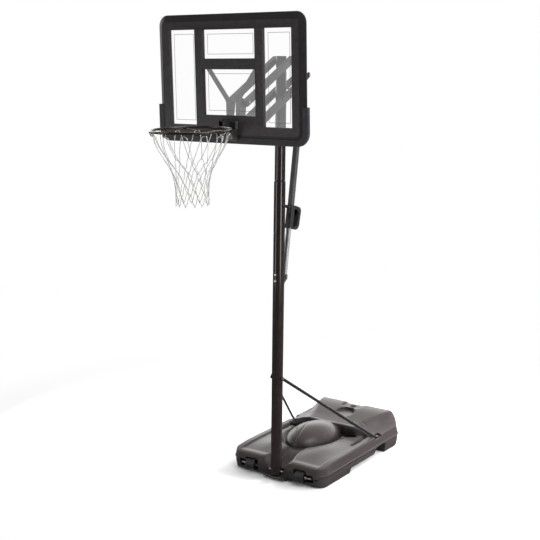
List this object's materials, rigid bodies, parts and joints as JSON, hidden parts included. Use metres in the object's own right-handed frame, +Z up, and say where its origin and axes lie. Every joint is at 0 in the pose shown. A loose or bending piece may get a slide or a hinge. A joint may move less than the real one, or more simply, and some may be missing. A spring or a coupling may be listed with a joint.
{
  "type": "portable basketball hoop",
  "caption": "Free-standing basketball hoop with a wheeled ballast base, leaning pole, parallelogram lift arms, telescoping handle strut, framed clear backboard, sprung rim and net.",
  "frame": {"origin": "on the floor, where the pole's axis meets it", "axes": "+Z up; the court and the rim are towards -Y, the ballast base reaches back along +Y; +X is across the board"},
  "size_m": [1.146, 2.1384, 3.11],
  "materials": {
    "tank_plastic": "moulded, light satin",
    "black_plastic": "moulded, fine grain",
    "wheel_plastic": "hard nylon",
    "pole_paint": "gloss powder coat",
    "arm_paint": "satin powder coat",
    "strut_paint": "satin powder coat",
    "zinc": "zinc plated",
    "galvanised": "galvanised",
    "board_plastic": "satin moulded frame",
    "clear_panel": "clear acrylic",
    "rim_paint": "gloss powder coat",
    "net_cord": "braided nylon cord"
  },
  "bodies": {
    "stand": {"base_tank": "tank_plastic", "wheel_axle": "zinc", "axle_clip_left": "zinc", "axle_clip_right": "zinc", "pole_bottom": "pole_paint", "pole_middle": "pole_paint", "pole_top": "pole_paint", "pole_top_cap": "black_plastic", "base_brace_left": "arm_paint", "base_brace_right": "arm_paint", "brace_foot_bolt_left": "zinc", "brace_foot_bolt_right": "zinc", "brace_pole_bolt": "zinc", "lift_bracket": "arm_paint", "lift_bracket_bolt_upper": "zinc", "lift_bracket_bolt_lower": "zinc", "lower_pivot_bolt": "zinc", "upper_pivot_bolt": "zinc", "pole_spacer_lower_left": "black_plastic", "pole_spacer_lower_right": "black_plastic", "pole_spacer_upper_left": "black_plastic", "pole_spacer_upper_right": "black_plastic"},
    "filler": {"fill_cap": "black_plastic"},
    "left_wheel": {"wheel_left": "wheel_plastic"},
    "right_wheel": {"wheel_right": "wheel_plastic"},
    "lower_arms": {"lower_arm_left": "arm_paint", "lower_arm_right": "arm_paint", "yoke_bolt": "zinc", "lift_yoke_left": "arm_paint", "lift_yoke_right": "arm_paint", "lift_top_bolt": "zinc", "strut_spacer_left": "zinc", "strut_spacer_right": "zinc"},
    "upper_arms": {"upper_arm_left": "arm_paint", "upper_arm_right": "arm_paint"},
    "lift_sleeve": {"lift_outer_tube": "strut_paint", "lift_handle": "black_plastic"},
    "trigger": {"lift_trigger": "black_plastic"},
    "lift_rod": {"lift_inner_tube": "galvanised", "lift_foot_pin": "zinc"},
    "backboard": {"backboard_frame": "board_plastic", "backboard_panel": "clear_panel", "panel_retainer": "board_plastic", "bottom_bumper": "black_plastic", "v_brace_left": "arm_paint", "v_brace_right": "arm_paint", "board_bracket_left": "arm_paint", "board_bracket_right": "arm_paint", "v_brace_screw_left": "zinc", "v_brace_screw_right": "zinc", "front_lower_bolt": "zinc", "front_upper_bolt": "zinc", "rim_bracket": "arm_paint", "rim_spring_left": "zinc", "rim_spring_right": "zinc"},
    "rim": {"rim_ring": "rim_paint", "rim_spring_bolt_left": "zinc", "rim_spring_bolt_right": "zinc", "net": "net_cord"}
  },
  "joints": [
    {"name": "height_lift", "type": "hinge", "parent": "stand", "child": "lower_arms", "pos_m": [0, 0.1196, 2.605], "axis": [-1, 0, 0], "range_deg": [0, 64]},
    {"name": "upper_arm_swing", "type": "hinge", "parent": "stand", "child": "upper_arms", "pos_m": [0, 0.12917, 2.81398], "axis": [-1, 0, 0], "range_deg": [0, 64.2]},
    {"name": "board_level", "type": "hinge", "parent": "upper_arms", "child": "backboard", "pos_m": [0, -0.3297, 2.58018], "axis": [1, 0, 0], "range_deg": [0, 64.2]},
    {"name": "strut_swing", "type": "hinge", "parent": "lower_arms", "child": "lift_sleeve", "pos_m": [0, 0.376, 2.721], "axis": [1, 0, 0], "range_deg": [0, 64.5]},
    {"name": "strut_telescope", "type": "slide", "parent": "lift_sleeve", "child": "lift_rod", "axis": [0, 0.1828, 0.9831], "range_m": [0, 0.2988]},
    {"name": "trigger_squeeze", "type": "hinge", "parent": "lift_sleeve", "child": "trigger", "pos_m": [0, 0.18658, 1.81717], "axis": [-1, 0, 0], "range_deg": [0, 6], "stiffness_Nm_per_rad": 2},
    {"name": "rim_breakaway", "type": "hinge", "parent": "backboard", "child": "rim", "pos_m": [0, -0.4946, 2.422], "axis": [1, 0, 0], "range_deg": [0, 12], "stiffness_Nm_per_rad": 900, "springref_deg": -3.44, "deforming": ["rim_spring_left", "rim_spring_right"]},
    {"name": "left_wheel_spin", "type": "hinge", "parent": "stand", "child": "left_wheel", "pos_m": [-0.206, 0.00275, 0.06], "axis": [1, 0, 0], "continuous": true},
    {"name": "right_wheel_spin", "type": "hinge", "parent": "stand", "child": "right_wheel", "pos_m": [0.206, 0.00275, 0.06], "axis": [1, 0, 0], "continuous": true},
    {"name": "fill_cap_turn", "type": "hinge", "parent": "stand", "child": "filler", "pos_m": [0, 1.01, 0.2173], "axis": [0, 0, 1], "range_deg": [0, 270]}
  ],
  "couplings": [
    {"joint": "upper_arm_swing", "follows": "height_lift", "ratio": 1},
    {"joint": "board_level", "follows": "height_lift", "ratio": 1},
    {"joint": "strut_swing", "follows": "height_lift", "ratio": 0.98721},
    {"joint": "strut_telescope", "follows": "height_lift", "m_per_rad": 0.26658}
  ]
}
